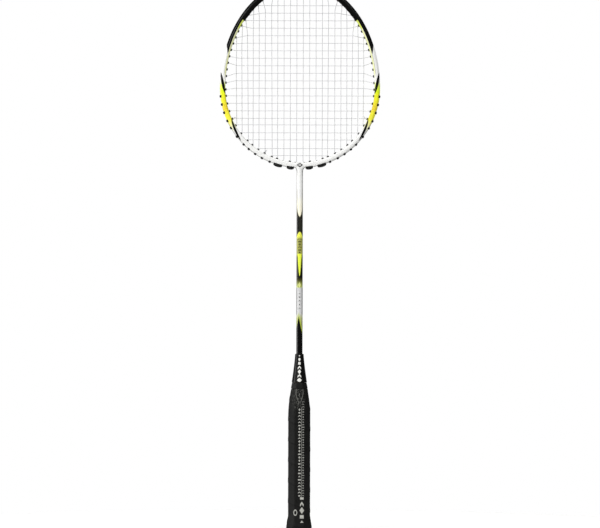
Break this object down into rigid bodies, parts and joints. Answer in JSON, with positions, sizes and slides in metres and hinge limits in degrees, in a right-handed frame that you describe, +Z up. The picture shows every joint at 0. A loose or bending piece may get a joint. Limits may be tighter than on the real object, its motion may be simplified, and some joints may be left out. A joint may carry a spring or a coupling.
{
  "type": "badminton racket",
  "caption": "Badminton racket with an oval tubular hoop, woven string bed, slim round shaft, cone and long octagonal wrapped handle.",
  "frame": {"origin": "middle of the butt's flat end, on the shaft's centre line", "axes": "+Z up the shaft from the butt to the head, XZ is the string bed's plane, Y is the racket's depth with the front at -Y"},
  "size_m": [0.1972, 0.0304, 0.675],
  "materials": {
    "frame_paint": "gloss",
    "shaft_paint": "gloss",
    "composite": "matte",
    "cone_plastic": "satin",
    "cap_plastic": "satin",
    "grommet_plastic": "satin",
    "grip_cover": "satin",
    "grip_tape": "gloss",
    "core_wood": "matte",
    "string_nylon": "satin",
    "tack_steel": "satin"
  },
  "bodies": {
    "root": {"butt_cap": "cap_plastic", "cap_tack_back": "tack_steel", "cap_tack_front": "tack_steel", "cone_cap": "cone_plastic", "cross_string": "string_nylon", "grip_end_tape": "grip_tape", "grip_wrap": "grip_cover", "grommet_left_01": "grommet_plastic", "grommet_left_02": "grommet_plastic", "grommet_left_03": "grommet_plastic", "grommet_left_04": "grommet_plastic", "grommet_left_05": "grommet_plastic", "grommet_left_06": "grommet_plastic", "grommet_left_07": "grommet_plastic", "grommet_left_08": "grommet_plastic", "grommet_left_09": "grommet_plastic", "grommet_left_10": "grommet_plastic", "grommet_left_11": "grommet_plastic", "grommet_right_01": "grommet_plastic", "grommet_right_02": "grommet_plastic", "grommet_right_03": "grommet_plastic", "grommet_right_04": "grommet_plastic", "grommet_right_05": "grommet_plastic", "grommet_right_06": "grommet_plastic", "grommet_right_07": "grommet_plastic", "grommet_right_08": "grommet_plastic", "grommet_right_09": "grommet_plastic", "grommet_right_10": "grommet_plastic", "grommet_right_11": "grommet_plastic", "grommet_strip_left": "grommet_plastic", "grommet_strip_right": "grommet_plastic", "grommet_strip_top": "grommet_plastic", "handle_core": "core_wood", "head_frame": "frame_paint", "main_string": "string_nylon", "shaft": "shaft_paint", "t_joint": "composite", "throat_grommet_left_inner": "grommet_plastic", "throat_grommet_left_outer": "grommet_plastic", "throat_grommet_right_inner": "grommet_plastic", "throat_grommet_right_outer": "grommet_plastic"}
  },
  "joints": []
}
